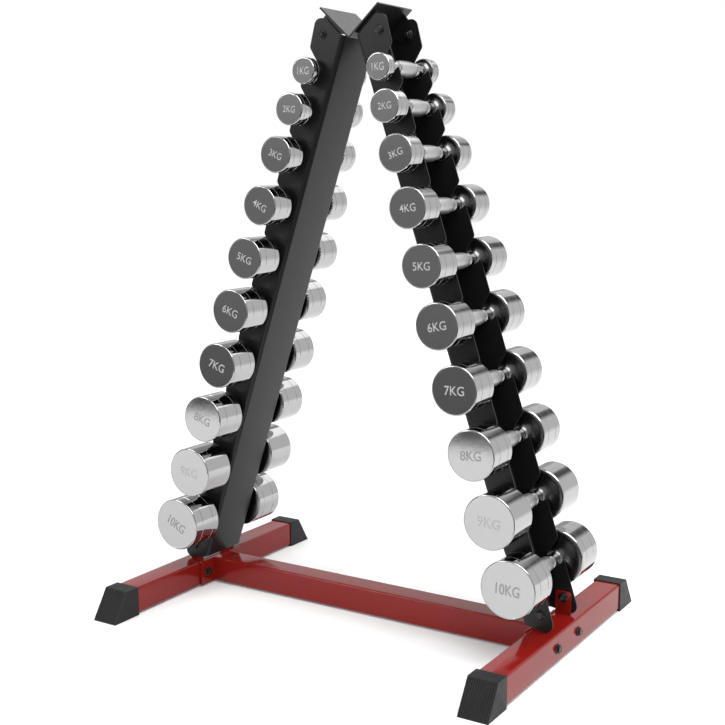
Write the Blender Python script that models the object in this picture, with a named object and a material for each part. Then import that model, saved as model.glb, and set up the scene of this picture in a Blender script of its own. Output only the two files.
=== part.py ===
"""A-frame dumbbell rack with ten pairs of dumbbells.

Metres, +Z up, the front faces -Y, origin on the floor under the middle of the rack.
"""
import math

import bmesh
import bpy

# Base
BASE_X = 0.385
TUBE = 0.050
TUBE_WALL = 0.002
TUBE_CORNER = 0.004
TUBE_BOTTOM = 0.003
TUBE_HALF_LENGTH = 0.2497
CAP_FACE_Y = 0.250
CAP_WIDTH = 0.054
CAP_HEIGHT = 0.055
CAP_TOP_LENGTH = 0.031
CAP_BOTTOM_LENGTH = 0.066
CAP_GROOVES = 9
CAP_GROOVE_DEPTH = 0.0012
CAP_PLUG = 0.0454
CAP_PLUG_LENGTH = 0.018
TAB_X = (0.3645, 0.3935)
TAB_TOP = 0.0955
TAB_CHAMFER = 0.004
PLATE = 0.004
PLATE_HALF_WIDTH = 0.066
PLATE_HOLE = 0.014
CROSSBAR_BOLT_Y = 0.0465

# Uprights, as folded channels whose inner face runs along a slanted line
SHEET = 0.0025
CHANNEL_HALF_WIDTH = 0.054
BEND = 0.0075
WEB_FOOT_X = 0.370
WEB_LEAN = math.atan(0.335)
EDGE_FOOT = 0.0559
EDGE_TOP = 0.0640
FOOT_BOLT = (0.3795, 0.0845)
HEAD_BOLT = (0.059, 1.075)

# Notches
FIRST_SEAT = 0.1457
PITCH = (0.1155, 0.1145, 0.1110, 0.1105, 0.1040, 0.1010, 0.0955, 0.0835, 0.0700)
SEAT_IN = 0.0207
SEAT_RADIUS = 0.0140
SEAT_RISE = 0.00165
TOOTH_ANGLE = math.radians(59)
LIFT_ANGLE = math.radians(42)
TOOTH_ROUND = 0.009
LIP_ROUND = 0.0025

# Top bracket
VEE_HALF_WIDTH = 0.059
VEE_HALF_DEPTH = 0.0583
VEE_TOP = 1.1205
VEE_VALLEY = 1.067
VEE_SHEET = 0.003
EAR = 0.003

# Fasteners
BOLT_RADIUS = 0.0040
HOLE_RADIUS = 0.0044
HEAD_FLANGE = 0.0090
HEX_FLAT = 0.0064
GAP = 0.0003

# Dumbbells: head radius and head length, from the heaviest to the lightest
HEADS = (
    (0.0504, 0.0710),
    (0.0476, 0.0715),
    (0.0440, 0.0705),
    (0.0427, 0.0660),
    (0.0406, 0.0650),
    (0.0378, 0.0610),
    (0.0357, 0.0535),
    (0.0328, 0.0435),
    (0.0286, 0.0360),
    (0.0235, 0.0222),
)
HANDLE_HALF = 0.066
NECK_RADIUS = 0.012
GRIP_RADIUS = 0.0148
COLLAR_RADIUS = 0.0142
SIDES = 16


def clear_scene():
    for obj in list(bpy.data.objects):
        bpy.data.objects.remove(obj, do_unlink=True)


def material(name, color, metallic, roughness):
    mat = bpy.data.materials.new(name)
    mat.use_nodes = True
    shader = mat.node_tree.nodes["Principled BSDF"]
    shader.inputs["Base Color"].default_value = (color[0], color[1], color[2], 1.0)
    shader.inputs["Metallic"].default_value = metallic
    shader.inputs["Roughness"].default_value = roughness
    return mat


def finish(obj, mat, angle=35.0):
    mesh = obj.data
    bm = bmesh.new()
    bm.from_mesh(mesh)
    bmesh.ops.remove_doubles(bm, verts=bm.verts, dist=0.000002)
    bmesh.ops.dissolve_degenerate(bm, edges=bm.edges, dist=0.000002)
    bmesh.ops.recalc_face_normals(bm, faces=bm.faces)
    bm.to_mesh(mesh)
    bm.free()
    mesh.materials.clear()
    mesh.materials.append(mat)
    mesh.shade_smooth()
    mesh.set_sharp_from_angle(angle=math.radians(angle))
    return obj


def new_object(name, verts, faces):
    mesh = bpy.data.meshes.new(name)
    mesh.from_pydata(verts, [], faces)
    bm = bmesh.new()
    bm.from_mesh(mesh)
    bmesh.ops.recalc_face_normals(bm, faces=bm.faces)
    bm.to_mesh(mesh)
    bm.free()
    obj = bpy.data.objects.new(name, mesh)
    bpy.context.scene.collection.objects.link(obj)
    return obj


def loft(name, rings):
    """Closed body through rings of equal point count, with flat ends."""
    count = len(rings[0])
    verts = [point for ring in rings for point in ring]
    faces = [tuple(range(count - 1, -1, -1))]
    for row in range(len(rings) - 1):
        for k in range(count):
            a = row * count + k
            b = row * count + (k + 1) % count
            faces.append((a, b, b + count, a + count))
    last = (len(rings) - 1) * count
    faces.append(tuple(range(last, last + count)))
    return new_object(name, verts, faces)


def prism_y(name, outline, low, high):
    """Extrudes an outline of (x, z) points along Y."""
    rings = [[(x, y, z) for x, z in outline] for y in (low, high)]
    return loft(name, rings)


def prism_x(name, outline, low, high):
    """Extrudes an outline of (y, z) points along X."""
    rings = [[(x, y, z) for y, z in outline] for x in (low, high)]
    return loft(name, rings)


def combine(obj, tool, operation):
    mod = obj.modifiers.new(operation, "BOOLEAN")
    mod.operation = operation
    mod.solver = "EXACT"
    mod.object = tool
    graph = bpy.context.evaluated_depsgraph_get()
    mesh = bpy.data.meshes.new_from_object(obj.evaluated_get(graph))
    obj.modifiers.clear()
    obj.data = mesh
    bpy.data.objects.remove(tool, do_unlink=True)
    return obj


def rounded_square(half, corner, steps):
    points = []
    for quarter in range(4):
        cx = (half - corner) * (1, -1, -1, 1)[quarter]
        cy = (half - corner) * (1, 1, -1, -1)[quarter]
        for k in range(steps + 1):
            a = math.radians(90.0 * (quarter + k / steps))
            points.append((cx + corner * math.cos(a), cy + corner * math.sin(a)))
    return points


def fillet(corners, steps=4):
    """Rounds each (x, z, radius) corner of a closed outline."""
    out = []
    count = len(corners)
    for i, (x, z, radius) in enumerate(corners):
        if radius == 0.0:
            out.append((x, z))
            continue
        px, pz = corners[i - 1][:2]
        nx, nz = corners[(i + 1) % count][:2]
        ax, az = px - x, pz - z
        bx, bz = nx - x, nz - z
        la, lb = math.hypot(ax, az), math.hypot(bx, bz)
        ax, az, bx, bz = ax / la, az / la, bx / lb, bz / lb
        half = math.acos(max(-1.0, min(1.0, ax * bx + az * bz))) / 2
        reach = radius / math.tan(half)
        mx, mz = ax + bx, az + bz
        lm = math.hypot(mx, mz)
        cx = x + mx / lm * radius / math.sin(half)
        cz = z + mz / lm * radius / math.sin(half)
        start = math.atan2(z + az * reach - cz, x + ax * reach - cx)
        end = math.atan2(z + bz * reach - cz, x + bx * reach - cx)
        sweep = (end - start + math.pi) % (2 * math.pi) - math.pi
        for k in range(steps + 1):
            a = start + sweep * k / steps
            out.append((cx + radius * math.cos(a), cz + radius * math.sin(a)))
    return out


def mirrored(points, side):
    return [(side * x, z) for x, z in points]


def rod(name, start, end, radius, axis, at, sides=12):
    """A plain cylinder along X or Y, used to cut bolt holes."""
    rings = []
    for s in (start, end):
        ring = []
        for k in range(sides):
            a = 2 * math.pi * k / sides
            u, v = radius * math.cos(a), radius * math.sin(a)
            if axis == "Y":
                ring.append((at[0] + u, s, at[1] + v))
            else:
                ring.append((s, at[0] + u, at[1] + v))
        rings.append(ring)
    return loft(name, rings)


# The slanted frame of an upright: along its face, and out from it
ALONG = (-math.sin(WEB_LEAN), math.cos(WEB_LEAN))
OUT = (math.cos(WEB_LEAN), math.sin(WEB_LEAN))


def on_upright(out, along):
    x = WEB_FOOT_X + OUT[0] * out + ALONG[0] * along
    z = OUT[1] * out + ALONG[1] * along
    return x, z


def seats():
    """Handle centres (x, z) on the right, from the heaviest to the lightest."""
    spots = []
    along = FIRST_SEAT
    total = sum(PITCH)
    for i in range(len(HEADS)):
        edge = EDGE_FOOT + (EDGE_TOP - EDGE_FOOT) * (along - FIRST_SEAT) / total
        spots.append(on_upright(edge - SEAT_IN, along))
        if i < len(PITCH):
            along += PITCH[i]
    return spots


def meet(p, d, q, e):
    """Where the line from p along d meets the line from q along e."""
    det = d[0] * e[1] - d[1] * e[0]
    t = ((q[0] - p[0]) * e[1] - (q[1] - p[1]) * e[0]) / det
    return p[0] + d[0] * t, p[1] + d[1] * t


def upright_outline():
    """Side outline of the right upright, down its outer edge and back up inside."""
    spots = seats()
    low, high = spots[0], spots[-1]
    edge_dir = (high[0] - low[0], high[1] - low[1])
    edge_at = (low[0] + OUT[0] * SEAT_IN, low[1] + OUT[1] * SEAT_IN)
    tooth = (math.cos(TOOTH_ANGLE), math.sin(TOOTH_ANGLE))
    lift = (math.cos(LIFT_ANGLE), math.sin(LIFT_ANGLE))
    corners = []
    corners.append((0.0500, 1.1018, 0.009))
    corners.append((0.0722, 1.1028, 0.013))
    for hx, hz in reversed(spots):
        cx, cz = hx, hz + SEAT_RISE
        upper = (cx - tooth[1] * SEAT_RADIUS, cz + tooth[0] * SEAT_RADIUS)
        lower = (cx + lift[1] * SEAT_RADIUS, cz - lift[0] * SEAT_RADIUS)
        tip = meet(upper, tooth, edge_at, edge_dir)
        lip = meet(lower, lift, edge_at, edge_dir)
        corners.append((tip[0], tip[1], TOOTH_ROUND))
        first = 90.0 + math.degrees(TOOTH_ANGLE)
        last = 270.0 + math.degrees(LIFT_ANGLE)
        turns = (first, 174.0, 198.0, 222.0, 246.0, 270.0, 291.0, last)
        for degrees in turns:
            a = math.radians(degrees)
            corners.append((cx + SEAT_RADIUS * math.cos(a), cz + SEAT_RADIUS * math.sin(a), 0.0))
        corners.append((lip[0], lip[1], LIP_ROUND))
    bottom = meet((0.3445, 0.0634), (0.0344, -0.0066), edge_at, edge_dir)
    corners.append((bottom[0], bottom[1], 0.015))
    corners.append((0.3445, 0.0634, 0.0))
    corners.append((0.3300, 0.0700, 0.0))
    corners.append((0.3100, 0.0700, 0.0))
    corners.append((-0.0200, 1.0575, 0.0))
    corners.append((0.0210, 1.0725, 0.0))
    return fillet(corners, 4)


def channel(name):
    """The folded channel before its flanges are cut to shape."""
    deep = 0.090
    wide = CHANNEL_HALF_WIDTH
    section = [(deep, -wide)]
    steps = 3
    for k in range(steps + 1):
        a = math.radians(90.0 * k / steps)
        section.append((BEND - BEND * math.sin(a), -wide + BEND - BEND * math.cos(a)))
    for k in range(steps + 1):
        a = math.radians(90.0 * (1 - k / steps))
        section.append((BEND - BEND * math.sin(a), wide - BEND + BEND * math.cos(a)))
    section.append((deep, wide))
    section.append((deep, wide - SHEET))
    inner = BEND - SHEET
    for k in range(steps + 1):
        a = math.radians(90.0 * k / steps)
        section.append((BEND - inner * math.sin(a), wide - BEND + inner * math.cos(a)))
    for k in range(steps + 1):
        a = math.radians(90.0 * (1 - k / steps))
        section.append((BEND - inner * math.sin(a), -wide + BEND - inner * math.cos(a)))
    section.append((deep, -wide + SHEET))
    rings = []
    for along in (-0.050, 1.250):
        ring = []
        for out, y in section:
            x, z = on_upright(out, along)
            ring.append((x, y, z))
        rings.append(ring)
    return loft(name, rings)


def build_upright(name, side, mat):
    obj = channel(name)
    combine(obj, prism_y("outline", upright_outline(), -0.060, 0.060), "INTERSECT")
    for at in (FOOT_BOLT, HEAD_BOLT):
        combine(obj, rod("hole", -0.060, 0.060, HOLE_RADIUS, "Y", at), "DIFFERENCE")
    for vert in obj.data.vertices:
        vert.co.x *= side
    return finish(obj, mat)


def build_base_tube(name, side, mat):
    middle = TUBE_BOTTOM + TUBE / 2
    outer = [(x, z + middle) for x, z in rounded_square(TUBE / 2, TUBE_CORNER, 3)]
    bore_half = TUBE / 2 - TUBE_WALL
    inner = [(x, z + middle) for x, z in rounded_square(bore_half, TUBE_CORNER - TUBE_WALL, 3)]
    outer = [(x + side * BASE_X, z) for x, z in outer]
    inner = [(x + side * BASE_X, z) for x, z in inner]
    obj = prism_y(name, outer, -TUBE_HALF_LENGTH, TUBE_HALF_LENGTH)
    top = TUBE_BOTTOM + TUBE
    for end in (-1, 1):
        x0, x1 = TAB_X
        tab = [(x0, top - 0.003), (x1, top - 0.003), (x1, TAB_TOP - TAB_CHAMFER)]
        tab += [(x1 - TAB_CHAMFER, TAB_TOP), (x0, TAB_TOP)]
        tab = mirrored(tab, side)
        face = CHANNEL_HALF_WIDTH - SHEET - GAP
        low, high = sorted((end * face, end * (face - 0.003)))
        combine(obj, prism_y("tab", tab, low, high), "UNION")
    combine(obj, prism_y("bore", inner, -0.3, 0.3), "DIFFERENCE")
    hole_at = (side * FOOT_BOLT[0], FOOT_BOLT[1])
    combine(obj, rod("hole", -0.060, 0.060, HOLE_RADIUS, "Y", hole_at), "DIFFERENCE")
    for end in (-1, 1):
        low, high = sorted((side * 0.350, side * 0.420))
        at = (end * CROSSBAR_BOLT_Y, middle)
        combine(obj, rod("hole", low, high, HOLE_RADIUS, "X", at), "DIFFERENCE")
    return finish(obj, mat)


def build_cap(name, side, end, mat):
    """A wedge with grooves down its slanted face and a plug inside the tube."""
    half = CAP_WIDTH / 2
    pitch = CAP_WIDTH / (CAP_GROOVES + 1)
    comb = [(-half, 0.0)]
    for k in range(CAP_GROOVES):
        x = -half + pitch * (k + 1)
        comb.append((x - 0.0010, 0.0))
        comb.append((x - 0.0004, CAP_GROOVE_DEPTH))
        comb.append((x + 0.0004, CAP_GROOVE_DEPTH))
        comb.append((x + 0.0010, 0.0))
    comb.append((half, 0.0))
    run = CAP_BOTTOM_LENGTH - CAP_TOP_LENGTH
    rings = []
    for z, reach in ((0.0, CAP_BOTTOM_LENGTH), (CAP_HEIGHT, CAP_TOP_LENGTH)):
        ring = [(x, CAP_FACE_Y + reach - sink, z) for x, sink in comb]
        ring.append((half, CAP_FACE_Y, z))
        ring.append((-half, CAP_FACE_Y, z))
        rings.append(ring)
    obj = loft(name, rings)
    middle = TUBE_BOTTOM + TUBE / 2
    plug = [(x, z + middle) for x, z in rounded_square(CAP_PLUG / 2, 0.002, 1)]
    combine(obj, prism_y("plug", plug, CAP_FACE_Y - CAP_PLUG_LENGTH, CAP_FACE_Y + 0.004), "UNION")
    for vert in obj.data.vertices:
        vert.co.x = vert.co.x + side * BASE_X
        vert.co.y *= end
    return finish(obj, mat)


def build_crossbar(name, mat):
    middle = TUBE_BOTTOM + TUBE / 2
    end = BASE_X - TUBE / 2 - GAP
    face = end - PLATE
    outer = [(y, z + middle) for y, z in rounded_square(TUBE / 2, TUBE_CORNER, 3)]
    bore_half = TUBE / 2 - TUBE_WALL
    inner = [(y, z + middle) for y, z in rounded_square(bore_half, TUBE_CORNER - TUBE_WALL, 3)]
    obj = prism_x(name, outer, -face - 0.002, face + 0.002)
    low, high = TUBE_BOTTOM, TUBE_BOTTOM + TUBE
    wide = PLATE_HALF_WIDTH
    corner = 0.003
    plate = [(-wide + corner, low), (wide - corner, low), (wide, low + corner)]
    plate += [(wide, high - corner), (wide - corner, high), (-wide + corner, high)]
    plate += [(-wide, high - corner), (-wide, low + corner)]
    for side in (-1, 1):
        x0, x1 = sorted((side * face, side * end))
        combine(obj, prism_x("plate", plate, x0, x1), "UNION")
    combine(obj, prism_x("bore", inner, -face, face), "DIFFERENCE")
    combine(obj, rod("vent", -0.4, 0.4, PLATE_HOLE, "X", (0.0, middle), 16), "DIFFERENCE")
    for y in (-CROSSBAR_BOLT_Y, CROSSBAR_BOLT_Y):
        combine(obj, rod("hole", -0.4, 0.4, HOLE_RADIUS, "X", (y, middle)), "DIFFERENCE")
    return finish(obj, mat)


def build_top_bracket(name, mat):
    slope = math.atan2(VEE_TOP - VEE_VALLEY, VEE_HALF_WIDTH)
    drop = VEE_SHEET / math.cos(slope)
    nx, nz = math.sin(slope) * VEE_SHEET, -math.cos(slope) * VEE_SHEET
    corners = [
        (0.0, VEE_VALLEY, 0.002),
        (VEE_HALF_WIDTH, VEE_TOP, 0.0),
        (VEE_HALF_WIDTH + nx, VEE_TOP + nz, 0.0),
        (0.0, VEE_VALLEY - drop, 0.005),
        (-VEE_HALF_WIDTH - nx, VEE_TOP + nz, 0.0),
        (-VEE_HALF_WIDTH, VEE_TOP, 0.0),
    ]
    obj = prism_y(name, fillet(corners, 3), -VEE_HALF_DEPTH, VEE_HALF_DEPTH)
    bx, bz = HEAD_BOLT

    def under(x, sink):
        return x, VEE_VALLEY - drop + math.tan(slope) * x + sink

    for side in (-1, 1):
        ear = [
            under(0.008, 0.002) + (0.0,),
            (0.0215, 1.0725, 0.002),
            (bx - 0.013, bz - 0.013, 0.010),
            (bx + 0.0125, bz - 0.013, 0.0120),
            (bx + 0.0125, bz + 0.010, 0.006),
            (0.0600, 1.0990, 0.003),
            under(0.050, 0.002) + (0.0,),
        ]
        ear = mirrored(fillet(ear, 4), side)
        for end in (-1, 1):
            face = CHANNEL_HALF_WIDTH - SHEET - GAP
            low, high = sorted((end * face, end * (face - EAR)))
            combine(obj, prism_y("ear", ear, low, high), "UNION")
        hole_at = (side * bx, bz)
        combine(obj, rod("hole", -0.055, 0.055, HOLE_RADIUS, "Y", hole_at), "DIFFERENCE")
    return finish(obj, mat)


def ring_at(position, radius, hexagon=False):
    """Twelve points around a fastener's axis at one position along it."""
    points = []
    for k in range(12):
        a = math.radians(30.0 * k)
        r = radius
        if hexagon and k % 2 == 0:
            r = radius / math.cos(math.radians(30.0))
        points.append((r * math.cos(a), r * math.sin(a), position))
    return points


def place(obj, axis, sign, at, start):
    """Turns a fastener built along +Z to lie along an axis, head outward."""
    for vert in obj.data.vertices:
        u, v, w = vert.co
        w = sign * (start + w)
        if axis == "Y":
            vert.co = (at[0] + u, w, at[1] + v)
        else:
            vert.co = (w, at[0] + u, at[1] + v)


def build_bolt(name, axis, sign, at, seat, tip, mat):
    """Hex flange bolt whose head sits on the face at seat and whose shank ends at tip."""
    rings = [
        ring_at(tip - seat, BOLT_RADIUS - 0.0008),
        ring_at(tip - seat + 0.0010, BOLT_RADIUS),
        ring_at(GAP, BOLT_RADIUS),
        ring_at(GAP, HEAD_FLANGE),
        ring_at(GAP + 0.0010, HEAD_FLANGE),
        ring_at(GAP + 0.0018, HEX_FLAT, True),
        ring_at(GAP + 0.0050, HEX_FLAT, True),
        ring_at(GAP + 0.0057, HEX_FLAT - 0.0009),
    ]
    obj = loft(name, rings)
    place(obj, axis, sign, at, seat)
    return finish(obj, mat)


def build_nut(name, axis, sign, at, seat, mat):
    """Hex flange nut bearing on the face at seat, on the far side from the head."""
    hole = BOLT_RADIUS + 0.0004
    rings = [
        ring_at(-0.0003, hole),
        ring_at(-0.0003, HEAD_FLANGE),
        ring_at(-0.0013, HEAD_FLANGE),
        ring_at(-0.0021, HEX_FLAT, True),
        ring_at(-0.0058, HEX_FLAT, True),
        ring_at(-0.0065, HEX_FLAT - 0.0007),
        ring_at(-0.0065, hole),
    ]
    count = 12
    verts = [point for ring in rings for point in ring]
    faces = []
    for row in range(len(rings)):
        after = (row + 1) % len(rings)
        for k in range(count):
            j = (k + 1) % count
            faces.append((row * count + k, row * count + j, after * count + j, after * count + k))
    obj = new_object(name, verts, faces)
    place(obj, axis, sign, at, seat)
    return finish(obj, mat)


def build_dumbbell(name, side, spot, head, mat):
    radius, length = head
    end = HANDLE_HALF + length
    edge = 0.0018
    flare = NECK_RADIUS + (radius - NECK_RADIUS) * 0.62
    half = [
        (end, radius - edge),
        (end - edge, radius),
        (HANDLE_HALF + 0.0030, radius),
        (HANDLE_HALF - 0.0010, flare),
        (0.0570, NECK_RADIUS + 0.0012),
        (0.0545, NECK_RADIUS),
        (0.0395, NECK_RADIUS),
        (0.0380, COLLAR_RADIUS),
        (0.0260, COLLAR_RADIUS),
    ]
    profile = [(-y, r) for y, r in half] + [(0.0, GRIP_RADIUS)]
    profile += [(y, r) for y, r in reversed(half)]
    rings = []
    for y, r in profile:
        ring = []
        for k in range(SIDES):
            a = 2 * math.pi * k / SIDES
            ring.append((r * math.cos(a), y, r * math.sin(a)))
        rings.append(ring)
    obj = loft(name, rings)
    obj.location = (side * spot[0], 0.0, spot[1])
    return finish(obj, mat, 30.0)


def main():
    clear_scene()
    red = material("red_paint", (0.30, 0.015, 0.015), 0.0, 0.25)
    black = material("black_paint", (0.020, 0.020, 0.021), 0.0, 0.35)
    plastic = material("black_plastic", (0.030, 0.030, 0.032), 0.0, 0.5)
    steel = material("black_steel", (0.015, 0.015, 0.016), 0.6, 0.35)
    chrome = material("chrome", (0.75, 0.75, 0.76), 1.0, 0.08)

    middle = TUBE_BOTTOM + TUBE / 2
    plate_face = BASE_X - TUBE / 2 - GAP - PLATE
    tab_face = CHANNEL_HALF_WIDTH - SHEET - GAP - EAR
    sides = (("left", -1), ("right", 1))
    ends = (("front", -1), ("back", 1))

    build_crossbar("crossbar", red)
    build_top_bracket("top_bracket", black)
    for side_name, side in sides:
        build_base_tube("base_tube_" + side_name, side, red)
        build_upright("upright_" + side_name, side, black)
        for end_name, end in ends:
            where = side_name + "_" + end_name
            build_cap("cap_" + where, side, end, plastic)
            at = (end * CROSSBAR_BOLT_Y, middle)
            seat = BASE_X + TUBE / 2
            build_bolt("crossbar_bolt_" + where, "X", side, at, seat, plate_face - 0.0085, steel)
            build_nut("crossbar_nut_" + where, "X", side, at, plate_face, steel)
            for part, spot in (("foot", FOOT_BOLT), ("head", HEAD_BOLT)):
                at = (side * spot[0], spot[1])
                seat = CHANNEL_HALF_WIDTH
                tip = tab_face - 0.0085
                build_bolt(part + "_bolt_" + where, "Y", end, at, seat, tip, steel)
                build_nut(part + "_nut_" + where, "Y", end, at, tab_face, steel)
        for i, spot in enumerate(seats()):
            name = "dumbbell_" + side_name + "_" + str(10 - i)
            build_dumbbell(name, side, spot, HEADS[i], chrome)


main()
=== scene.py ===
import math

import bmesh
import bpy
from mathutils import Matrix, Vector


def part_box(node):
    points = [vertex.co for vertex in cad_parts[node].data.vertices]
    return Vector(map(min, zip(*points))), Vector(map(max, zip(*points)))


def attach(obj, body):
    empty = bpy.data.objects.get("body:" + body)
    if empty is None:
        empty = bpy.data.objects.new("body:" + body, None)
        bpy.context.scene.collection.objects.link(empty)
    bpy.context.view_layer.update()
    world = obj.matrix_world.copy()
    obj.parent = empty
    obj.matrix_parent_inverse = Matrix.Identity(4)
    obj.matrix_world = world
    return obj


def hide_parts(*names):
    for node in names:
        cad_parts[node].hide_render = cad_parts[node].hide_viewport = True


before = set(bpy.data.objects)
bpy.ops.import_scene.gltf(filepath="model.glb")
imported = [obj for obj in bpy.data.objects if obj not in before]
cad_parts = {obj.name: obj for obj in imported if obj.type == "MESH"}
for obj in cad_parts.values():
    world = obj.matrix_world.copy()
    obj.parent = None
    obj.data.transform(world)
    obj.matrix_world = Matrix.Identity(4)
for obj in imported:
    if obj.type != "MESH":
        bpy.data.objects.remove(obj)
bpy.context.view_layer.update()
SCENE = bpy.context.scene

SIDES = (("left", -1), ("right", 1))
ENDS = (("front", -1), ("back", 1))
GAP = 0.0003  # between touching pieces

# base
BASE_X, TUBE_Z = 0.385, 0.028
TUBE_HALF, TUBE_CORNER = 0.025, 0.004
BORE_HALF, BORE_CORNER = 0.023, 0.002
TAB_X, TAB_LOW, TAB_TOP = (0.3645, 0.3935), 0.050, 0.0955
PLATE, PLATE_HALF_WIDTH, PLATE_HOLE = 0.004, 0.066, 0.014
CROSSBAR_BOLT_Y = 0.0465
CAP_FACE_Y, CAP_BOTTOM_LENGTH, CAP_TOP_LENGTH = 0.250, 0.066, 0.031
CAP_RIBS, CAP_BORDER, CAP_GROOVE = 12, 0.0022, 0.0010
CAP_PLUG_HALF, CAP_PLUG_LENGTH = 0.0227, 0.018

# uprights: folded channels whose web leans, with a notch in both flanges for each handle
LEAN = math.atan(0.335)
ALONG = (-math.sin(LEAN), math.cos(LEAN))
OUT = (math.cos(LEAN), math.sin(LEAN))
WEB_FOOT_X = 0.370
SHEET, HALF, BEND = 0.0025, 0.054, 0.0075
SEAT_IN, SEAT_RADIUS, SEAT_RISE = 0.0207, 0.0140, 0.00165
TOOTH, LIFT = math.radians(59), math.radians(42)
TOOTH_ROUND, LIP_ROUND = 0.009, 0.0025
FOOT_BOLT, HEAD_BOLT = (0.3795, 0.0845), (0.059, 1.075)

# top bracket
VEE_HALF_WIDTH, VEE_VALLEY, VEE_SHEET = 0.059, 1.067, 0.003

# tabs and ears lie against the inside of the flanges
EAR = 0.003
EAR_FACE = HALF - SHEET - GAP

# fasteners
HOLE_RADIUS = 0.0044
BOLT_RADIUS, NUT_BORE = 0.0040, 0.0043
FLANGE_RADIUS, HEX_FLAT = 0.0090, 0.0064
BOLT_PAST_NUT = 0.0085  # from the nut's seat to the bolt's tip

# dumbbells
HANDLE_HALF, HEAD_INNER = 0.066, 0.0688
NECK_RADIUS, GRIP_RADIUS, GRIP_HALF = 0.0119, 0.0148, 0.0248
CONE_START, CONE_END = 0.0525, 0.0668
FACE_SINK = 0.00015  # the turned face lies a little below its rim


# ---------------------------------------------------------------- materials
def nodes_of(name):
    """A new node material, its tree and its shader."""
    mat = bpy.data.materials.new(name)
    mat.use_nodes = True
    tree = mat.node_tree
    return mat, tree, tree.nodes["Principled BSDF"]


def add(tree, kind, **values):
    node = tree.nodes.new(kind)
    for key, value in values.items():
        setattr(node, key, value)
    return node


def noise(tree, scale, detail, source, rough=0.5):
    tex = add(tree, "ShaderNodeTexNoise")
    tex.inputs["Scale"].default_value = scale
    tex.inputs["Detail"].default_value = detail
    tex.inputs["Roughness"].default_value = rough
    tree.links.new(source, tex.inputs["Vector"])
    return tex.outputs["Fac"]


def spread(tree, value, low, high, out_low, out_high):
    """Carries a value from one range to another."""
    node = add(tree, "ShaderNodeMapRange")
    node.inputs["From Min"].default_value = low
    node.inputs["From Max"].default_value = high
    node.inputs["To Min"].default_value = out_low
    node.inputs["To Max"].default_value = out_high
    tree.links.new(value, node.inputs["Value"])
    return node.outputs["Result"]


def ramp(tree, value, stops):
    """A colour for each (place, colour) stop, blended between them."""
    node = add(tree, "ShaderNodeValToRGB")
    node.color_ramp.elements[0].position = stops[0][0]
    node.color_ramp.elements[0].color = (*stops[0][1], 1)
    node.color_ramp.elements[1].position = stops[-1][0]
    node.color_ramp.elements[1].color = (*stops[-1][1], 1)
    for place, color in stops[1:-1]:
        step = node.color_ramp.elements.new(place)
        step.color = (*color, 1)
    tree.links.new(value, node.inputs["Fac"])
    return node.outputs["Color"]


def bump(tree, shader, height, strength, distance, chain=None):
    """Bends the shader's normal by a height, on top of an earlier bump if chained."""
    node = add(tree, "ShaderNodeBump")
    node.inputs["Strength"].default_value = strength
    node.inputs["Distance"].default_value = distance
    tree.links.new(height, node.inputs["Height"])
    if chain is not None:
        tree.links.new(chain, node.inputs["Normal"])
    tree.links.new(node.outputs["Normal"], shader.inputs["Normal"])
    return node.outputs["Normal"]


def object_coords(tree):
    return add(tree, "ShaderNodeTexCoord").outputs["Object"]


def paint(name, dark, light, rough, grain, gloss):
    """Powder coat: a colour that drifts a little, orange peel and fine grain."""
    mat, tree, shader = nodes_of(name)
    at = object_coords(tree)
    drift = noise(tree, 9.0, 4.0, at)
    tree.links.new(ramp(tree, drift, ((0.3, dark), (0.7, light))), shader.inputs["Base Color"])
    patches = noise(tree, 60.0, 5.0, at, 0.6)
    tree.links.new(spread(tree, patches, 0.3, 0.7, *rough), shader.inputs["Roughness"])
    peel = noise(tree, 520.0, 2.0, at)
    first = bump(tree, shader, peel, 0.08, 0.0002)
    fine = noise(tree, 2600.0, 2.0, at)
    bump(tree, shader, fine, grain, 0.00012, first)
    shader.inputs["Specular IOR Level"].default_value = gloss
    return mat


def plastic():
    """Moulded black plastic: a fine cell grain and rubbed patches."""
    mat, tree, shader = nodes_of("moulded_plastic")
    at = object_coords(tree)
    drift = noise(tree, 25.0, 4.0, at)
    tone = ramp(tree, drift, ((0.3, (0.009, 0.0092, 0.0097)), (0.7, (0.0125, 0.0127, 0.0134))))
    tree.links.new(tone, shader.inputs["Base Color"])
    cells = add(tree, "ShaderNodeTexVoronoi")
    cells.inputs["Scale"].default_value = 1500.0
    tree.links.new(at, cells.inputs["Vector"])
    first = bump(tree, shader, cells.outputs["Distance"], 0.25, 0.0001)
    bump(tree, shader, noise(tree, 300.0, 3.0, at), 0.12, 0.0002, first)
    rub = noise(tree, 45.0, 6.0, at, 0.65)
    tree.links.new(spread(tree, rub, 0.3, 0.7, 0.36, 0.52), shader.inputs["Roughness"])
    shader.inputs["Specular IOR Level"].default_value = 0.18
    return mat


def blackened():
    """Blackened steel of the fasteners."""
    mat, tree, shader = nodes_of("blackened_steel")
    at = object_coords(tree)
    drift = noise(tree, 160.0, 5.0, at)
    tone = ramp(tree, drift, ((0.35, (0.010, 0.010, 0.011)), (0.7, (0.030, 0.029, 0.028))))
    tree.links.new(tone, shader.inputs["Base Color"])
    shader.inputs["Metallic"].default_value = 0.55
    tree.links.new(spread(tree, drift, 0.3, 0.7, 0.13, 0.24), shader.inputs["Roughness"])
    bump(tree, shader, noise(tree, 900.0, 3.0, at), 0.14, 0.00015)
    return mat


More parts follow.
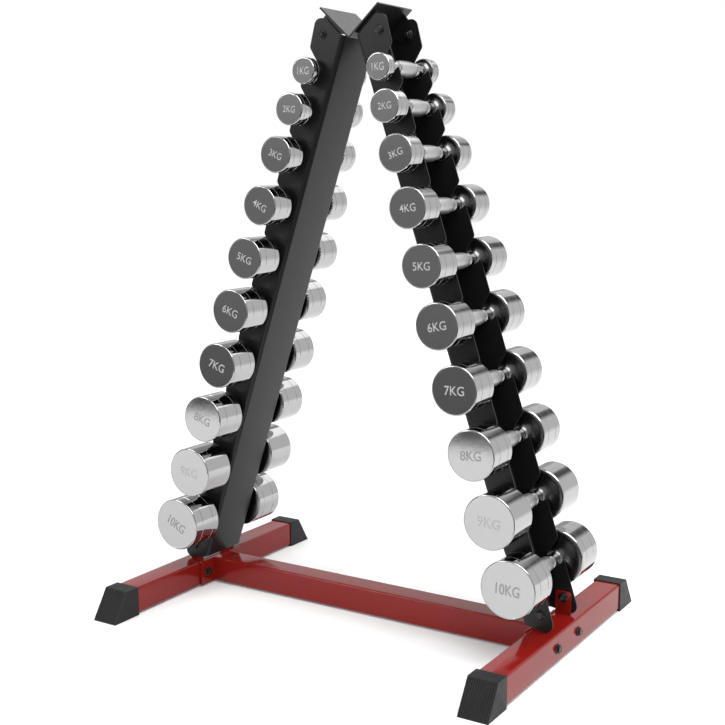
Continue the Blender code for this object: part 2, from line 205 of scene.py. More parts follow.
def turned_rings(tree, at, scale):
    """Fine concentric lines round the local Y axis, as a lathe leaves on a face."""
    flat = add(tree, "ShaderNodeMapping")
    flat.inputs["Scale"].default_value = (1.0, 0.0, 1.0)
    tree.links.new(at, flat.inputs["Vector"])
    length = add(tree, "ShaderNodeVectorMath", operation="LENGTH")
    tree.links.new(flat.outputs["Vector"], length.inputs[0])
    rings = add(tree, "ShaderNodeTexNoise", noise_dimensions="1D")
    rings.inputs["Scale"].default_value = scale
    rings.inputs["Detail"].default_value = 3.0
    tree.links.new(length.outputs["Value"], rings.inputs["W"])
    return rings.outputs["Fac"]


def chrome(name, tint, rough, lathe, wave=0.035):
    """Chrome plate with a slight haze and wave, and lathe lines where lathe isn't 0."""
    mat, tree, shader = nodes_of(name)
    at = object_coords(tree)
    haze = noise(tree, 38.0, 5.0, at, 0.6)
    low = tuple(c * 0.97 for c in tint)
    tree.links.new(ramp(tree, haze, ((0.3, low), (0.7, tint))), shader.inputs["Base Color"])
    shader.inputs["Metallic"].default_value = 1.0
    tree.links.new(spread(tree, haze, 0.3, 0.7, *rough), shader.inputs["Roughness"])
    first = bump(tree, shader, noise(tree, 55.0, 2.0, at), wave, 0.0004)
    if lathe:
        bump(tree, shader, turned_rings(tree, at, 700.0), lathe, 0.00005, first)
    return mat


def engraving(name, dark, light):
    """The blasted floor of the engraved weight marks."""
    mat, tree, shader = nodes_of(name)
    at = object_coords(tree)
    grain = noise(tree, 1800.0, 3.0, at)
    tone = ramp(tree, grain, ((0.3, (dark, dark, dark)), (0.7, (light, light, light))))
    tree.links.new(tone, shader.inputs["Base Color"])
    shader.inputs["Metallic"].default_value = 0.35
    tree.links.new(spread(tree, grain, 0.3, 0.7, 0.42, 0.55), shader.inputs["Roughness"])
    bump(tree, shader, grain, 0.3, 0.0001)
    return mat


RED = paint(
    "red_powder_coat", (0.168, 0.0066, 0.0046), (0.184, 0.0076, 0.0054),
    rough=(0.085, 0.125), grain=0.02, gloss=0.30,
)
BLACK = paint(
    "black_powder_coat", (0.0058, 0.0058, 0.0062), (0.0074, 0.0074, 0.0078),
    rough=(0.30, 0.345), grain=0.10, gloss=0.27,
)
PLASTIC = plastic()
BOLT = blackened()
CHROME = chrome("chrome_plate", (0.40, 0.40, 0.403), (0.05, 0.09), 0.0, 0.06)
FACE = chrome("chrome_turned_face", (0.40, 0.40, 0.403), (0.05, 0.085), 0.03, 0.09)
FACE_RINGS = chrome("chrome_ringed_face", (0.44, 0.44, 0.443), (0.06, 0.09), 0.9, 0.09)
GRIP = chrome("chrome_satin_grip", (0.45, 0.45, 0.453), (0.38, 0.46), 0.06)
# painted shade: a darkened copy of the chrome for the inner cones, standing in for the dark they reflect
# between the heads
INNER = chrome("chrome_inner_cone_painted_shade", (0.15, 0.15, 0.152), (0.20, 0.28), 0.08)
MARK = engraving("engraved_mark", 0.35, 0.45)
# painted shade: a darker copy of the same engraved mark, used on the 8 kg and 10 kg marks
MARK_SHADE = engraving("engraved_mark_painted_shade", 0.23, 0.31)


# ---------------------------------------------------------------- mesh helpers
def new_object(name, verts, faces):
    """A mesh object in the scene, its normals made to agree."""
    mesh = bpy.data.meshes.new(name)
    mesh.from_pydata(verts, [], faces)
    tidy(mesh)
    obj = bpy.data.objects.new(name, mesh)
    SCENE.collection.objects.link(obj)
    return obj


def tidy(mesh):
    """Joins doubled points and turns every face outwards."""
    bm = bmesh.new()
    bm.from_mesh(mesh)
    bmesh.ops.remove_doubles(bm, verts=bm.verts, dist=0.000002)
    bmesh.ops.recalc_face_normals(bm, faces=bm.faces)
    bm.to_mesh(mesh)
    bm.free()


def loft(name, rings, capped=True):
    """Joins rings of equal count into a skin, closed at both ends if capped."""
    count = len(rings[0])
    verts = [point for ring in rings for point in ring]
    faces = [tuple(range(count - 1, -1, -1))] if capped else []
    for row in range(len(rings) - 1):
        for k in range(count):
            a = row * count + k
            b = row * count + (k + 1) % count
            faces.append((a, b, b + count, a + count))
    last = (len(rings) - 1) * count
    if capped:
        faces.append(tuple(range(last, last + count)))
    return new_object(name, verts, faces)


def prism_y(name, outline, low, high):
    """An (x, z) outline drawn out along Y."""
    return loft(name, [[(x, y, z) for x, z in outline] for y in (low, high)])


def prism_x(name, outline, low, high):
    """A (y, z) outline drawn out along X."""
    return loft(name, [[(x, y, z) for y, z in outline] for x in (low, high)])


def combine(obj, tool, operation, crossed=False):
    """Applies a boolean and removes its tool; crossed is for a tool that cuts itself."""
    mod = obj.modifiers.new(operation, "BOOLEAN")
    mod.operation = operation
    mod.solver = "EXACT"
    mod.use_self = crossed
    mod.object = tool
    graph = bpy.context.evaluated_depsgraph_get()
    mesh = bpy.data.meshes.new_from_object(obj.evaluated_get(graph))
    obj.modifiers.clear()
    obj.data = mesh
    bpy.data.objects.remove(tool, do_unlink=True)
    return obj


def rounded_square(half, corner, steps):
    """Points round a square of the given half width, its corners as arcs."""
    points = []
    for quarter in range(4):
        cx = (half - corner) * (1, -1, -1, 1)[quarter]
        cy = (half - corner) * (1, 1, -1, -1)[quarter]
        for k in range(steps + 1):
            a = math.radians(90.0 * (quarter + k / steps))
            points.append((cx + corner * math.cos(a), cy + corner * math.sin(a)))
    return points


def fillet(corners, steps=8):
    """Turns (x, z, radius) corners into an outline with an arc at each radius."""
    out = []
    count = len(corners)
    for i, (x, z, radius) in enumerate(corners):
        if radius == 0.0:
            out.append((x, z))
            continue
        px, pz = corners[i - 1][:2]
        nx, nz = corners[(i + 1) % count][:2]
        a = Vector((px - x, pz - z)).normalized()
        b = Vector((nx - x, nz - z)).normalized()
        half = a.angle(b) / 2
        reach = radius / math.tan(half)
        centre = Vector((x, z)) + (a + b).normalized() * radius / math.sin(half)
        start = Vector((x, z)) + a * reach - centre
        end = Vector((x, z)) + b * reach - centre
        first = math.atan2(start.y, start.x)
        sweep = (math.atan2(end.y, end.x) - first + math.pi) % (2 * math.pi) - math.pi
        for k in range(steps + 1):
            t = first + sweep * k / steps
            out.append((centre.x + radius * math.cos(t), centre.y + radius * math.sin(t)))
    return out


def rod(start, end, radius, axis, at, sides=32):
    """A round bar along X or Y, its axis through at."""
    rings = []
    for s in (start, end):
        ring = []
        for k in range(sides):
            a = 2 * math.pi * k / sides
            u, v = radius * math.cos(a), radius * math.sin(a)
            ring.append((at[0] + u, s, at[1] + v) if axis == "Y" else (s, at[0] + u, at[1] + v))
        rings.append(ring)
    return loft("rod", rings)


def dress(obj, mat, slot, body, *nodes, bevel=0.0, angle=35.0):
    """Shades a piece, softens its edges and ties it to the frame."""
    tidy(obj.data)
    obj.data.materials.clear()
    obj.data.materials.append(mat)
    obj.data.shade_smooth()
    obj.data.set_sharp_from_angle(angle=math.radians(angle))
    if bevel:
        mod = obj.modifiers.new("edges", "BEVEL")
        mod.width = bevel
        mod.segments = 2
        mod.limit_method = "ANGLE"
        mod.angle_limit = math.radians(angle)
        mod.harden_normals = True
        mod.use_clamp_overlap = True
    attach(obj, body)
    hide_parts(*nodes)


# ---------------------------------------------------------------- uprights
def middle(node):
    """The middle of a CAD node's box."""
    low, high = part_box(node)
    return (Vector(low) + Vector(high)) / 2


def meet(p, d, q, e):
    """Where the line through p along d crosses the line through q along e."""
    det = d[0] * e[1] - d[1] * e[0]
    t = ((q[0] - p[0]) * e[1] - (q[1] - p[1]) * e[0]) / det
    return p[0] + d[0] * t, p[1] + d[1] * t


def upright_outline():
    """The right flange's outline, seen from the front, with a notch under each handle."""
    spots = []
    for kg in range(1, 11):
        at = middle("dumbbell_right_%d" % kg)
        spots.append((at.x, at.z))
    low, high = spots[-1], spots[0]
    along = (high[0] - low[0], high[1] - low[1])
    edge = (low[0] + OUT[0] * SEAT_IN, low[1] + OUT[1] * SEAT_IN)
    tooth = (math.cos(TOOTH), math.sin(TOOTH))
    lift = (math.cos(LIFT), math.sin(LIFT))
    corners = [(0.0500, 1.1018, 0.009), (0.0722, 1.1028, 0.013)]
    for hx, hz in spots:
        cx, cz = hx, hz + SEAT_RISE
        upper = (cx - tooth[1] * SEAT_RADIUS, cz + tooth[0] * SEAT_RADIUS)
        lower = (cx + lift[1] * SEAT_RADIUS, cz - lift[0] * SEAT_RADIUS)
        corners.append((*meet(upper, tooth, edge, along), TOOTH_ROUND))
        first, last = 90 + math.degrees(TOOTH), 270 + math.degrees(LIFT)
        for k in range(19):
            a = math.radians(first + (last - first) * k / 18)
            corners.append((cx + SEAT_RADIUS * math.cos(a), cz + SEAT_RADIUS * math.sin(a), 0.0))
        corners.append((*meet(lower, lift, edge, along), LIP_ROUND))
    foot, foot_slope = (0.3445, 0.0634), (0.0344, -0.0066)
    corners.append((*meet(foot, foot_slope, edge, along), 0.015))
    corners += [(*foot, 0.0), (0.33, 0.07, 0.0), (0.31, 0.07, 0.0)]
    corners += [(-0.02, 1.0575, 0.0), (0.021, 1.0725, 0.0)]
    return fillet(corners, 9)


def channel():
    """A long folded channel along the lean, wide enough to cut the upright from."""
    deep, wide, steps, inner = 0.090, HALF, 9, BEND - SHEET
    section = [(deep, -wide)]
    for k in range(steps + 1):
        a = math.radians(90 * k / steps)
        section.append((BEND - BEND * math.sin(a), -wide + BEND - BEND * math.cos(a)))
    section += [(out, -y) for out, y in reversed(section)]
    back = [(deep, wide - SHEET)]
    for k in range(steps + 1):
        a = math.radians(90 * k / steps)
        back.append((BEND - inner * math.sin(a), wide - BEND + inner * math.cos(a)))
    section += back + [(out, -y) for out, y in reversed(back)]
    rings = []
    for up in (-0.05, 1.25):  # past both ends
        ring = []
        for out, y in section:
            ring.append((WEB_FOOT_X + OUT[0] * out + ALONG[0] * up, y, OUT[1] * out + ALONG[1] * up))
        rings.append(ring)
    return loft("upright", rings)


def build_upright(name, side):
    """The channel cut to its outline, drilled, and mirrored for the left."""
    obj = channel()
    obj.name = name + "_look"
    combine(obj, prism_y("outline", upright_outline(), -0.06, 0.06), "INTERSECT")
    for at in (FOOT_BOLT, HEAD_BOLT):
        combine(obj, rod(-0.06, 0.06, HOLE_RADIUS, "Y", at), "DIFFERENCE")
    for vert in obj.data.vertices:
        vert.co.x *= side
    dress(obj, BLACK, "black_paint", "rack", name, bevel=0.00045)


# ---------------------------------------------------------------- base and top
def tube_sections(x):
    """Outside and bore of the square tube, their middle at x."""
    outer = [(x + u, TUBE_Z + v) for u, v in rounded_square(TUBE_HALF, TUBE_CORNER, 8)]
    inner = [(x + u, TUBE_Z + v) for u, v in rounded_square(BORE_HALF, BORE_CORNER, 6)]
    return outer, inner


def build_base_tube(name, side):
    """Square tube with a tab for each flange of its upright."""
    low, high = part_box(name)
    outer, inner = tube_sections(middle(name).x)
    obj = prism_y(name + "_look", outer, low[1], high[1])
    for end in (-1, 1):
        tab = [
            (TAB_X[0], TAB_LOW, 0),
            (TAB_X[1], TAB_LOW, 0),
            (TAB_X[1], TAB_TOP, 0.0045),
            (TAB_X[0], TAB_TOP, 0.0012),
        ]
        tab = [(side * u, v) for u, v in fillet(tab, 5)]
        a, b = sorted((end * EAR_FACE, end * (EAR_FACE - EAR)))
        combine(obj, prism_y("tab", tab, a, b), "UNION")
    combine(obj, prism_y("bore", inner, -0.3, 0.3), "DIFFERENCE")
    combine(obj, rod(-0.06, 0.06, HOLE_RADIUS, "Y", (side * FOOT_BOLT[0], FOOT_BOLT[1])), "DIFFERENCE")
    for end in (-1, 1):
        a, b = sorted((side * 0.350, side * 0.420))
        combine(obj, rod(a, b, HOLE_RADIUS, "X", (end * CROSSBAR_BOLT_Y, TUBE_Z)), "DIFFERENCE")
    dress(obj, RED, "red_paint", "rack", name, bevel=0.0004)


def build_crossbar():
    """Square tube with a bolting plate on each end."""
    low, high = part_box("crossbar")
    end, face = high[0], high[0] - PLATE
    outer, inner = tube_sections(0.0)
    obj = prism_x("crossbar_look", outer, -face - PLATE / 2, face + PLATE / 2)
    bottom, top = TUBE_Z - TUBE_HALF, TUBE_Z + TUBE_HALF
    corner = 0.003
    plate = fillet(
        [
            (-PLATE_HALF_WIDTH, bottom, corner),
            (PLATE_HALF_WIDTH, bottom, corner),
            (PLATE_HALF_WIDTH, top, corner),
            (-PLATE_HALF_WIDTH, top, corner),
        ],
        5,
    )
    for side in (-1, 1):
        a, b = sorted((side * face, side * end))
        combine(obj, prism_x("plate", plate, a, b), "UNION")
    combine(obj, prism_x("bore", inner, -face, face), "DIFFERENCE")
    combine(obj, rod(-0.4, 0.4, PLATE_HOLE, "X", (0.0, TUBE_Z)), "DIFFERENCE")
    for y in (-CROSSBAR_BOLT_Y, CROSSBAR_BOLT_Y):
        combine(obj, rod(-0.4, 0.4, HOLE_RADIUS, "X", (y, TUBE_Z)), "DIFFERENCE")
    dress(obj, RED, "red_paint", "rack", "crossbar", bevel=0.0004)


def build_top_bracket():
    """Folded V plate with an ear for each flange of the uprights."""
    low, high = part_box("top_bracket")
    half, depth, top, valley, sheet = VEE_HALF_WIDTH, high[1], high[2], VEE_VALLEY, VEE_SHEET
    slope = math.atan2(top - valley, half)
    drop = sheet / math.cos(slope)
    nx, nz = math.sin(slope) * sheet, -math.cos(slope) * sheet
    corners = [
        (0.0, valley, 0.002),
        (half, top, 0.0),
        (half + nx, top + nz, 0.0),
        (0.0, valley - drop, 0.005),
        (-half - nx, top + nz, 0.0),
        (-half, top, 0.0),
    ]
    obj = prism_y("top_bracket_look", fillet(corners, 6), -depth, depth)
    bx, bz = HEAD_BOLT

    def under(x):
        """A point 2 mm inside the sheet, over its lower face."""
        return x, valley - drop + math.tan(slope) * x + 0.002

    for side in (-1, 1):
        ear = [
            (*under(0.008), 0.0),
            (0.0215, 1.0725, 0.002),
            (bx - 0.013, bz - 0.013, 0.010),
            (bx + 0.0125, bz - 0.013, 0.0120),
            (bx + 0.0125, bz + 0.010, 0.006),
            (0.0600, 1.0990, 0.003),
            (*under(0.050), 0.0),
        ]
        ear = [(side * u, v) for u, v in fillet(ear, 8)]
        for end in (-1, 1):
            a, b = sorted((end * EAR_FACE, end * (EAR_FACE - EAR)))
            combine(obj, prism_y("ear", ear, a, b), "UNION")
        combine(obj, rod(-0.055, 0.055, HOLE_RADIUS, "Y", (side * bx, bz)), "DIFFERENCE")
    dress(obj, BLACK, "black_paint", "rack", "top_bracket", bevel=0.0005)


def build_cap(name, side, end):
    """Moulded wedge: smooth border, ribs down the slanted face, plug in the tube."""
    low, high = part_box(name)
    half, tall = (high[0] - low[0]) / 2, high[2]
    face, reach_low, reach_high = CAP_FACE_Y, CAP_BOTTOM_LENGTH, CAP_TOP_LENGTH
    rings = []
    for reach, z in ((reach_low, 0), (reach_high, tall)):
        rings.append([(-half, face + reach, z), (half, face + reach, z), (half, face, z), (-half, face, z)])
    obj = loft(name + "_look", rings)
    slant = Vector((0.0, reach_high - reach_low, tall))
    across = slant.length
    along = slant.normalized()
    outward = Vector((0.0, along.z, -along.y))
    foot = Vector((0.0, face + reach_low, 0.0))
    border, deep, above = CAP_BORDER, -CAP_GROOVE, 0.004
    pitch = (2 * half - 2 * border) / CAP_RIBS
    comb = [(-half + border, above)]
    for k in range(CAP_RIBS):
        x = -half + border + pitch * k
        comb += [(x, deep), (x + pitch * 0.42, deep), (x + pitch * 0.5, 0.0), (x + pitch * 0.92, 0.0)]
    comb += [(half - border, deep), (half - border, above)]
    rings = []
    for run in (border, across - border):
        ring = []
        for x, rise in comb:
            ring.append(tuple(foot + along * run + outward * rise + Vector((x, 0, 0))))
        rings.append(ring)
    combine(obj, loft("grooves", rings), "DIFFERENCE")
    plug = [(x, z + TUBE_Z) for x, z in rounded_square(CAP_PLUG_HALF, 0.002, 3)]
    combine(obj, prism_y("plug", plug, face - CAP_PLUG_LENGTH, face + 0.004), "UNION")
    for vert in obj.data.vertices:
        vert.co.x += side * BASE_X
        vert.co.y *= end
    dress(obj, PLASTIC, "black_plastic", "rack", name, bevel=0.00045, angle=28.0)


# ---------------------------------------------------------------- fasteners
def turned(profile, hexes, sides=48):
    """Rings of (position, radius) along Z; those numbered in hexes follow a hexagon."""
    rings = []
    for i, (w, r) in enumerate(profile):
        ring = []
        for k in range(sides):
            a = 2 * math.pi * k / sides
            reach = r
            if i in hexes:
                fold = (a + math.pi / 6) % (math.pi / 3) - math.pi / 6
                reach = min(r / math.cos(fold), r * 1.125)
            ring.append((reach * math.cos(a), reach * math.sin(a), w))
        rings.append(ring)
    return rings


def lay(obj, axis, sign, at, start, spin):
    """Lays a fastener along its axis, its seat at start, turned by spin."""
    turn = Matrix.Rotation(spin, 3, "Z")
    for vert in obj.data.vertices:
        u, v, w = turn @ vert.co
        w = sign * (start + w)
        vert.co = (at[0] + u, w, at[1] + v) if axis == "Y" else (w, at[0] + u, at[1] + v)


def build_bolt(name, axis, sign, at, seat, tip, spin):
    """Flange bolt: shank from tip to seat, flange, hexagon and a dished top."""
    g, flange, flat = GAP, FLANGE_RADIUS, HEX_FLAT
    profile = [
        (tip - seat, BOLT_RADIUS - 0.0008),
        (tip - seat + 0.0008, BOLT_RADIUS),
        (g, BOLT_RADIUS),
        (g, flange - 0.0002),
        (g + 0.0003, flange),
        (g + 0.0009, flange),
        (g + 0.0013, flange - 0.0004),
        (g + 0.0018, flange - 0.0020),
        (g + 0.0021, flat),
        (g + 0.0048, flat),
        (g + 0.0057, flat - 0.0004),
        (g + 0.0057, flat - 0.0018),
        (g + 0.0052, flat - 0.0022),
        (g + 0.0052, 0.0010),
    ]
    obj = loft(name + "_look", turned(profile, hexes=(8, 9)))
    lay(obj, axis, sign, at, seat, spin)
    dress(obj, BOLT, "black_steel", "rack", name, angle=30.0)


def build_nut(name, axis, sign, at, seat, spin):
    """Flange nut on the inner face of a plate, tab or ear."""
    flange, flat = FLANGE_RADIUS, HEX_FLAT
    profile = [
        (-GAP, NUT_BORE),
        (-GAP, flange - 0.0002),
        (-0.0006, flange),
        (-0.0011, flange),
        (-0.0015, flange - 0.0004),
        (-0.0020, flange - 0.0020),
        (-0.0023, flat),
        (-0.0056, flat),
        (-0.0064, flat - 0.0005),
        (-0.0065, flat - 0.0014),
        (-0.0061, NUT_BORE),
    ]
    rings = turned(profile, hexes=(6, 7))
    obj = loft(name + "_look", rings + [rings[0]], capped=False)
    lay(obj, axis, sign, at, seat, spin)
    dress(obj, BOLT, "black_steel", "rack", name, angle=30.0)


# ---------------------------------------------------------------- dumbbells
def handle_profile(radius):
    """Half of the handle, from the middle outwards: grip, two collars, neck and flare."""
    points = []
    for k in range(9):
        t = k / 8
        points.append((0.0245 * t, GRIP_RADIUS - 0.0014 * t ** 2.2))
    points += [(0.0252, 0.0129), (0.0258, 0.0128)]
    for start, width, high in ((0.0260, 0.0042, 0.0141), (0.0306, 0.0056, 0.0137)):
        for k in range(7):
            a = math.pi * k / 6
            bulge = 0.0012 * math.sin(a) ** 0.8 if 0 < k < 6 else 0.0
            points.append((start + width * (1 - math.cos(a)) / 2, high - 0.0012 + bulge))
        points.append((start + width + 0.0002, 0.0122))
    points += [(0.0372, 0.0120), (0.0400, 0.01195), (0.0480, NECK_RADIUS), (0.0530, NECK_RADIUS)]
    throat, rim = 0.0540, 0.0650
    flare = 0.012 + (radius - 0.012) * 0.66
    sweep = math.radians(84)
    for k in range(1, 15):
        a = sweep * k / 14
        reach = math.sin(a) / math.sin(sweep)
        rise = (1 - math.cos(a)) / (1 - math.cos(sweep))
        points.append((throat + (rim - throat) * reach, NECK_RADIUS + (flare - NECK_RADIUS) * rise))
    for k in range(1, 8):
        a = math.radians(90) * k / 7
        out = rim + (HEAD_INNER - rim) * (1 - math.cos(a))
        points.append((out, flare + (radius - 0.0004 - flare) * math.sin(a)))
    return points


def head_profile(radius, length, grooves):
    """The head outside, from its inner edge to the flat of its face."""
    inner, end = HEAD_INNER, HANDLE_HALF + length
    points = [(inner + 0.0004, radius - 0.0001), (inner + 0.0008, radius), (inner + 0.0011, radius)]
    groove = 0.0005
    for share in grooves:
        at = end - length * share
        points += [(at - 0.0008, radius), (at - 0.0005, radius), (at - 0.0002, radius - groove)]
        points += [(at + 0.0002, radius - groove), (at + 0.0005, radius), (at + 0.0008, radius)]
    soft = 0.0022
    points.append((end - soft - 0.0004, radius))
    for k in range(9):
        a = math.pi / 2 * k / 8
        points.append((end - soft + soft * math.sin(a), radius - soft + soft * math.cos(a)))
    points += [(end, radius - soft - 0.0003), (end - FACE_SINK, radius - soft - 0.0005)]
    return points


def weight_text(kg, wide, tall):
    """A weight mark as a solid, centred, standing along Y through the face."""
    curve = bpy.data.curves.new("mark", "FONT")
    curve.body = "%dKG" % kg
    curve.size = 0.01
    curve.extrude = 0.0006
    curve.offset = 0.00015
    curve.resolution_u = 4
    obj = bpy.data.objects.new("mark", curve)
    SCENE.collection.objects.link(obj)
    graph = bpy.context.evaluated_depsgraph_get()
    mesh = bpy.data.meshes.new_from_object(obj.evaluated_get(graph))
    bpy.data.objects.remove(obj, do_unlink=True)
    solid = bpy.data.objects.new("mark", mesh)
    SCENE.collection.objects.link(solid)
    low = Vector((min(v.co.x for v in mesh.vertices), min(v.co.y for v in mesh.vertices)))
    high = Vector((max(v.co.x for v in mesh.vertices), max(v.co.y for v in mesh.vertices)))
    mid, size = (low + high) / 2, high - low
    for vert in mesh.vertices:
        x, y, z = vert.co
        vert.co = ((x - mid.x) * wide / size.x, z, (y - mid.y) * tall / size.y)
    tidy(mesh)
    return solid


# a mark's width and height as shares of the head's radius, where they aren't the usual ones
MARK_SHARES = {1: (1.04, 0.58), 2: (0.94, 0.42), 10: (0.86, 0.38)}


def dumbbell_mesh(kg, radius, half_length):
    """One dumbbell along Y, turned from a profile, its mark cut in both faces."""
    length = half_length - HANDLE_HALF
    grooves = () if kg == 9 else (0.74, 0.30)
    half = handle_profile(radius) + head_profile(radius, length, grooves)
    profile = [(-y, r) for y, r in reversed(half)] + half[1:]
    rings, sides = [], 96
    for y, r in profile:
        ring = []
        for k in range(sides):
            a = 2 * math.pi * k / sides
            ring.append((r * math.cos(a), y, r * math.sin(a)))
        rings.append(ring)
    obj = loft("dumbbell_%d" % kg, rings)
    face = half_length - FACE_SINK
    wide, tall = MARK_SHARES.get(kg, (0.88, 0.38))
    for end in (-1, 1):
        mark = weight_text(kg, radius * wide, radius * tall)
        for vert in mark.data.vertices:
            x, y, z = vert.co
            vert.co = (x * -end, y + end * face, z)
        tidy(mark.data)
        # the 4 of the font overlaps itself
        combine(obj, mark, "DIFFERENCE", crossed=kg == 4)
    mesh = obj.data
    bpy.data.objects.remove(obj, do_unlink=True)
    tidy(mesh)
    mesh.materials.clear()
    face_slot, grip_slot, mark_slot, cone_shade_slot = 1, 2, 3, 4  # 0 is the plain plate
    # the 8 kg and 10 kg marks take the darker mark copy, painted shade; the inner cones take the darkened
    # chrome, painted shade
    for mat in (CHROME, FACE_RINGS if kg == 6 else FACE, GRIP, MARK_SHADE if kg in (8, 10) else MARK, INNER):
        mesh.materials.append(mat)
    mesh.shade_smooth()
    mesh.set_sharp_from_angle(angle=math.radians(40))
    for poly in mesh.polygons:
        out, away = abs(poly.center.y), math.hypot(poly.center.x, poly.center.z)
        if out > face - 0.0001 and away < radius - 0.002:
            poly.material_index = face_slot
            poly.use_smooth = False
        elif out > face - 0.0008 and away < radius - 0.003:
            poly.material_index = mark_slot
            poly.use_smooth = False
        elif out < GRIP_HALF:
            poly.material_index = grip_slot
        # the inner cone takes the darkened chrome, which is painted shade
        elif CONE_START < out < CONE_END:
            poly.material_index = cone_shade_slot
    return mesh


# how far each dumbbell has rolled in its notch, in degrees, from 1 kg to 10 kg
TURNS = {
    "right": (0, 4, 20, 7, 3, 12, 2, 4, -4, -2),
    "left": (-3, -4, -22, -28, -20, -20, -18, -18, -5, -28),
}


def build_dumbbells():
    """Both sides' dumbbells; the turn is in the mesh, so that each object's box stays tight."""
    for kg in range(1, 11):
        low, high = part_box("dumbbell_right_%d" % kg)
        mesh = dumbbell_mesh(kg, (high[0] - low[0]) / 2, (high[1] - low[1]) / 2)
        for side, _ in SIDES:
            node = "dumbbell_%s_%d" % (side, kg)
            at = middle(node)
            own = mesh.copy()
            own.transform(Matrix.Rotation(math.radians(-TURNS[side][kg - 1]), 4, "Y"))
            obj = bpy.data.objects.new(node + "_look", own)
            SCENE.collection.objects.link(obj)
            obj.location = at
            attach(obj, node)
            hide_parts(node)


# ---------------------------------------------------------------- studio
def ghost(obj):
    """Leaves an object visible in reflections only."""
    obj.visible_camera = False
    obj.visible_diffuse = False
    obj.visible_shadow = False
    obj.visible_transmission = False
    obj.visible_volume_scatter = False


def card(name, centre, size, turn, u=None, v=None, strength=1.0):
    """A flat card seen only in reflections, its glow graded along its sides."""
    mesh = bpy.data.meshes.new(name)
    a, b = size[0] / 2, size[1] / 2
    mesh.from_pydata([(-a, -b, 0), (a, -b, 0), (a, b, 0), (-a, b, 0)], [], [(0, 1, 2, 3)])
    obj = bpy.data.objects.new(name, mesh)
    SCENE.collection.objects.link(obj)
    obj.location = centre
    obj.rotation_euler = turn
    mat = bpy.data.materials.new(name)
    mat.use_nodes = True
    tree = mat.node_tree
    tree.nodes.clear()
    split = add(tree, "ShaderNodeSeparateXYZ")
    tree.links.new(add(tree, "ShaderNodeTexCoord").outputs["Generated"], split.inputs["Vector"])
    brighter = add(tree, "ShaderNodeMix", data_type="RGBA", blend_type="LIGHTEN")
    brighter.inputs["Factor"].default_value = 1.0
    for socket, axis, stops in ((6, "X", u), (7, "Y", v)):
        if stops:
            stops = [(place, (tone, tone, tone)) for place, tone in stops]
            tree.links.new(ramp(tree, split.outputs[axis], stops), brighter.inputs[socket])
        else:
            brighter.inputs[socket].default_value = (0, 0, 0, 1)
    glow = add(tree, "ShaderNodeEmission")
    glow.inputs["Strength"].default_value = strength
    tree.links.new(brighter.outputs[2], glow.inputs["Color"])
    out = add(tree, "ShaderNodeOutputMaterial")
    tree.links.new(glow.outputs["Emission"], out.inputs["Surface"])
    mesh.materials.append(mat)
    ghost(obj)


def area(name, place, aim, size, power):
    """A square area light of the given size, aimed at a point."""
    data = bpy.data.lights.new(name, "AREA")
    data.shape = "SQUARE"
    data.size = size
    data.energy = power
    obj = bpy.data.objects.new(name, data)
    SCENE.collection.objects.link(obj)
    obj.location = place
    obj.rotation_mode = "QUATERNION"
    obj.rotation_quaternion = (Vector(place) - Vector(aim)).to_track_quat("Z", "Y")


def build_world():
    """Plain white all round."""
    world = bpy.data.worlds.new("studio")
    SCENE.world = world
    world.use_nodes = True
    tree = world.node_tree
    tree.nodes["Background"].inputs["Color"].default_value = (1, 1, 1, 1)
    tree.nodes["Background"].inputs["Strength"].default_value = 1.0


def build_floor():
    """A pale floor that fades to white away from the rack."""
    mesh = bpy.data.meshes.new("floor")
    reach, sink = 12.0, 0.0006
    corners = [(-reach, -reach, 0), (reach, -reach, 0), (reach, reach, 0), (-reach, reach, 0)]
    mesh.from_pydata(corners, [], [(0, 1, 2, 3)])
    floor = bpy.data.objects.new("floor", mesh)
    SCENE.collection.objects.link(floor)
    floor.location.z = -sink
    mat, tree, shader = nodes_of("floor_sweep")
    at = object_coords(tree)
    away = add(tree, "ShaderNodeVectorMath", operation="LENGTH")
    tree.links.new(at, away.inputs[0])
    paler = add(tree, "ShaderNodeMath", operation="MULTIPLY_ADD")
    tree.links.new(noise(tree, 1.5, 2.0, at), paler.inputs[0])
    paler.inputs[1].default_value = 0.02
    near, far, grey, white = 0.9, 2.6, 0.78, 0.985
    tree.links.new(spread(tree, away.outputs["Value"], near, far, grey, white), paler.inputs[2])
    tree.links.new(paler.outputs["Value"], shader.inputs["Base Color"])
    shader.inputs["Roughness"].default_value = 0.9
    shader.inputs["Specular IOR Level"].default_value = 0.0
    shader.inputs["Emission Color"].default_value = (1, 1, 1, 1)
    shader.inputs["Emission Strength"].default_value = 0.07
    mesh.materials.append(mat)


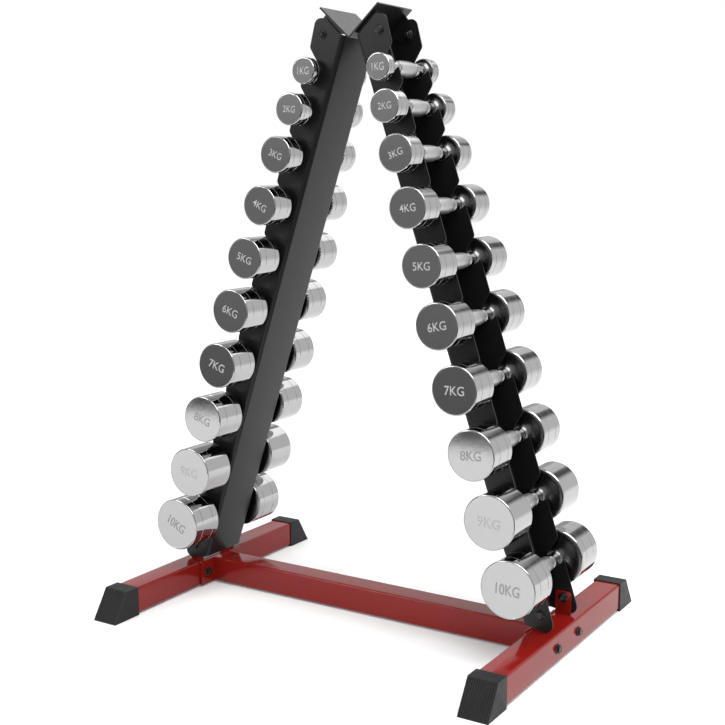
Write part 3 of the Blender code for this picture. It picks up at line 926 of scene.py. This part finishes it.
def build_cards():
    """What the chrome sees: a dark room in front, a grey wall and a dark gap behind."""
    flat, upright = (0, 0, 0), (math.radians(90), 0, 0)
    card(
        "front_floor", (-1, -5.57, 0.001), (18, 8), flat,
        v=((0.0, 0.30), (0.6, 0.25), (0.9, 0.21), (0.976, 0.18), (0.984, 0.28), (0.993, 0.8), (1.0, 1.1)),
    )
    card(
        "side_floor", (1.75, -1.75, 0.002), (2.6, 2.9), flat,
        u=((0.0, 0.9), (0.1, 0.1), (1.0, 0.1)),
        v=((0.0, 0.1), (0.92, 0.1), (1.0, 0.9)),
    )
    card(
        "front_wall", (-1, -6.0, 3.0), (18, 6), upright,
        v=((0.0, 0.30), (0.15, 0.31), (0.25, 0.54), (1.0, 0.70)),
    )
    card(
        "back_wall", (-6.0, 8.0, 4.5), (13, 9), upright,
        u=((0.0, 0.42), (1.0, 0.5)),
        v=((0.0, 0.4), (0.26, 0.55), (0.34, 0.95), (0.5, 0.95), (0.6, 0.4)),
    )
    card(
        "back_gap", (1.6, 7.9, 4.1), (2.8, 1.9), upright,
        u=((0.0, 0.45), (0.3, 0.16), (0.65, 0.16), (1.0, 0.95)),
        v=((0.0, 0.9), (0.3, 0.16), (0.75, 0.16), (1.0, 0.9)),
    )
    card("back_box", (0.6, 6.0, 5.6), (5.0, 2.6), upright, v=((0.0, 1.0), (1.0, 1.0)), strength=2.0)


def build_camera():
    """A long lens from the front right, a little above the middle."""
    cam = bpy.data.cameras.new("camera")
    cam.sensor_width = 36.0
    cam.lens = 60.15
    cam.shift_x = 0.0168
    cam.clip_start, cam.clip_end = 0.05, 100
    obj = bpy.data.objects.new("camera", cam)
    SCENE.collection.objects.link(obj)
    aim, distance = Vector((-0.037, 0, 0.47975)), 2.273
    az, el, roll = math.radians(32.68), math.radians(9.08), math.radians(-0.28)
    back = Vector((math.sin(az) * math.cos(el), -math.cos(az) * math.cos(el), math.sin(el)))
    right = Vector((0, 0, 1)).cross(back).normalized()
    up = back.cross(right)
    turned_right = right * math.cos(roll) + up * math.sin(roll)
    turned_up = up * math.cos(roll) - right * math.sin(roll)
    place = aim + back * distance
    axes = (turned_right, turned_up, back, place)
    obj.matrix_world = Matrix([[axis[row] for axis in axes] for row in range(3)] + [[0, 0, 0, 1]])
    SCENE.camera = obj


def build_studio():
    """World, floor, cards, two lights and the camera."""
    build_world()
    build_floor()
    build_cards()
    area("key", (1.4, -0.45, 3.1), (0, 0, 0.3), 2.6, 118)
    area("front_left", (-2.5, -3.1, 2.5), (0, 0, 0.9), 1.5, 46)
    build_camera()
    SCENE.view_settings.view_transform = "Standard"


def build_fasteners(where, side, end, count):
    """The three bolts and nuts of one corner; count sets how far each is turned."""
    seat = BASE_X - TUBE_HALF - PLATE - GAP
    at = (end * CROSSBAR_BOLT_Y, TUBE_Z)
    head = BASE_X + TUBE_HALF
    build_bolt("crossbar_bolt_" + where, "X", side, at, head, seat - BOLT_PAST_NUT, count * 0.41)
    build_nut("crossbar_nut_" + where, "X", side, at, seat, count * 0.57)
    seat = EAR_FACE - EAR
    for part, spot in (("foot", FOOT_BOLT), ("head", HEAD_BOLT)):
        count += 1
        at = (side * spot[0], spot[1])
        build_bolt(part + "_bolt_" + where, "Y", end, at, HALF, seat - BOLT_PAST_NUT, count * 0.37)
        build_nut(part + "_nut_" + where, "Y", end, at, seat, count * 0.61)


def main():
    build_crossbar()
    build_top_bracket()
    count = 1
    for side_name, side in SIDES:
        build_base_tube("base_tube_" + side_name, side)
        build_upright("upright_" + side_name, side)
        for end_name, end in ENDS:
            where = side_name + "_" + end_name
            build_cap("cap_" + where, side, end)
            build_fasteners(where, side, end, count)
            count += 3
    build_dumbbells()
    build_studio()


main()
